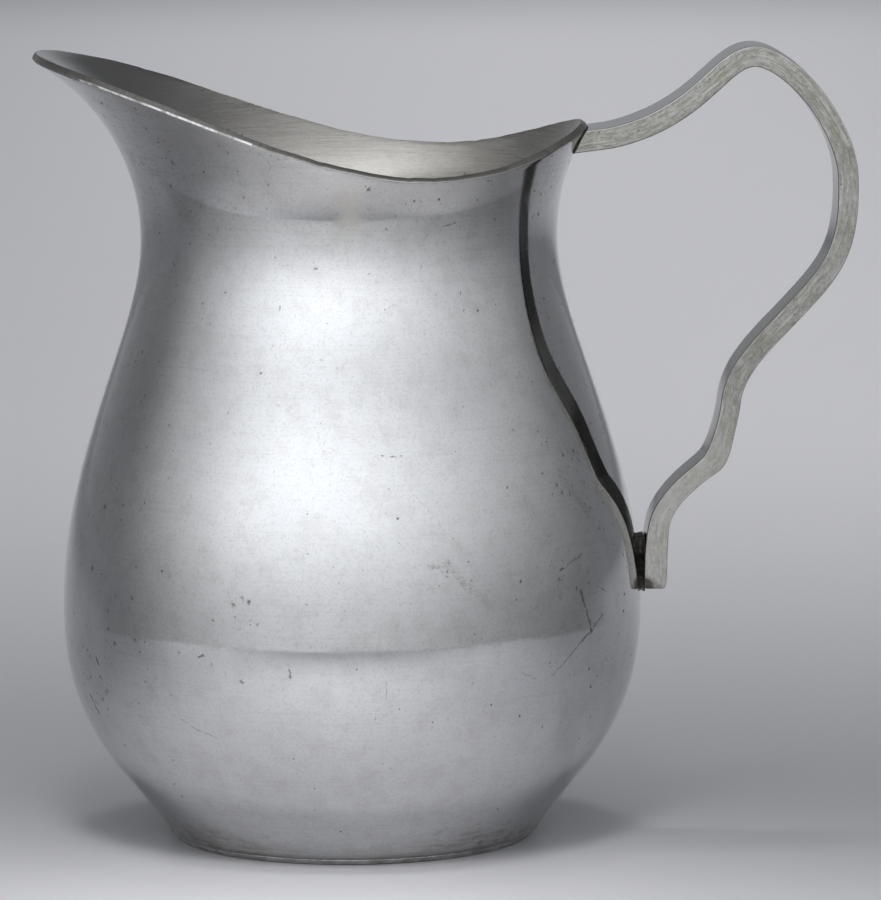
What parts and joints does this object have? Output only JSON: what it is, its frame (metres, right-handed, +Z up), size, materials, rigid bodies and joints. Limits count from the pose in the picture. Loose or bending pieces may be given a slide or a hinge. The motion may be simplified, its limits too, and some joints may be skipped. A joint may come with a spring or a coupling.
{
  "type": "creamer jug",
  "caption": "Polished pewter creamer: pear-shaped turned body, flared pouring lip with a saddle-cut rim, flat soldered base and a bent flat-strap handle, for serving cream or milk.",
  "frame": {"origin": "centre of the base's underside, on the axis of the turned body", "axes": "+Z up along the body's axis, -X towards the pouring lip, +X towards the handle, Y across"},
  "size_m": [0.1113, 0.0784, 0.1075],
  "materials": {
    "pewter_body": "polished pewter with fine hairline scratches",
    "pewter_base": "satin pewter, worn underneath",
    "solder_base": "dull solder",
    "pewter_handle": "brushed pewter on the flat sides, polished along the edges",
    "solder_upper": "dull dark solder",
    "solder_lower": "dull dark solder"
  },
  "bodies": {
    "root": {"body_shell": "pewter_body", "base_disc": "pewter_base", "base_solder_seam": "solder_base", "handle": "pewter_handle", "handle_upper_solder": "solder_upper", "handle_lower_solder": "solder_lower"}
  },
  "joints": []
}
